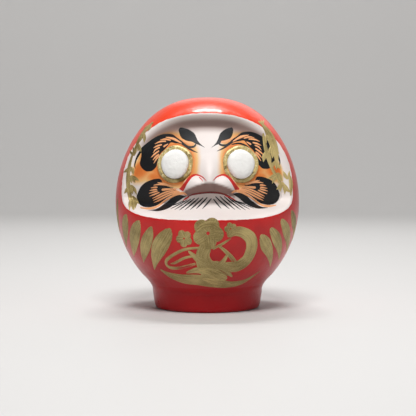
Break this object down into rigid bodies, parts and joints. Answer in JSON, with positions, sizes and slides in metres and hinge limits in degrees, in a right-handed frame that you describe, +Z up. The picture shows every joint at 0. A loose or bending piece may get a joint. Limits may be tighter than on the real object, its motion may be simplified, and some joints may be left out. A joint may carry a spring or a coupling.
{
  "type": "daruma doll",
  "caption": "Round hollow moulded-paper good-luck doll with a set-back painted face, raised domed eyes and a weighted foot that stands it upright.",
  "frame": {"origin": "middle of the flat resting face under the foot", "axes": "+Z up along the doll's upright axis, -Y out of the doll's face, +X towards the doll's own left side"},
  "size_m": [0.14, 0.1393, 0.16],
  "materials": {
    "red_lacquered_paper": "vermilion lacquer over moulded paper, glossy with a faint orange peel",
    "plain_paper": "matt uncoated paper",
    "clay": "rough dried clay",
    "glue": "dried glue",
    "white_paint": "matt chalk white over paper",
    "gold_paint": "satin gold paint",
    "black_ink": "black brush ink with a slight sheen over white paint",
    "orange_paint": "matt light orange brush paint",
    "red_paint": "matt red brush paint"
  },
  "bodies": {
    "root": {"shell_front": "red_lacquered_paper", "shell_back": "red_lacquered_paper", "seam_strips": "plain_paper", "foot": "red_lacquered_paper", "base_cover": "plain_paper", "base_weight": "clay", "weight_bedding": "glue", "eye_left": "white_paint", "eye_right": "white_paint", "eye_rim_left": "gold_paint", "eye_rim_right": "gold_paint"}
  },
  "joints": []
}
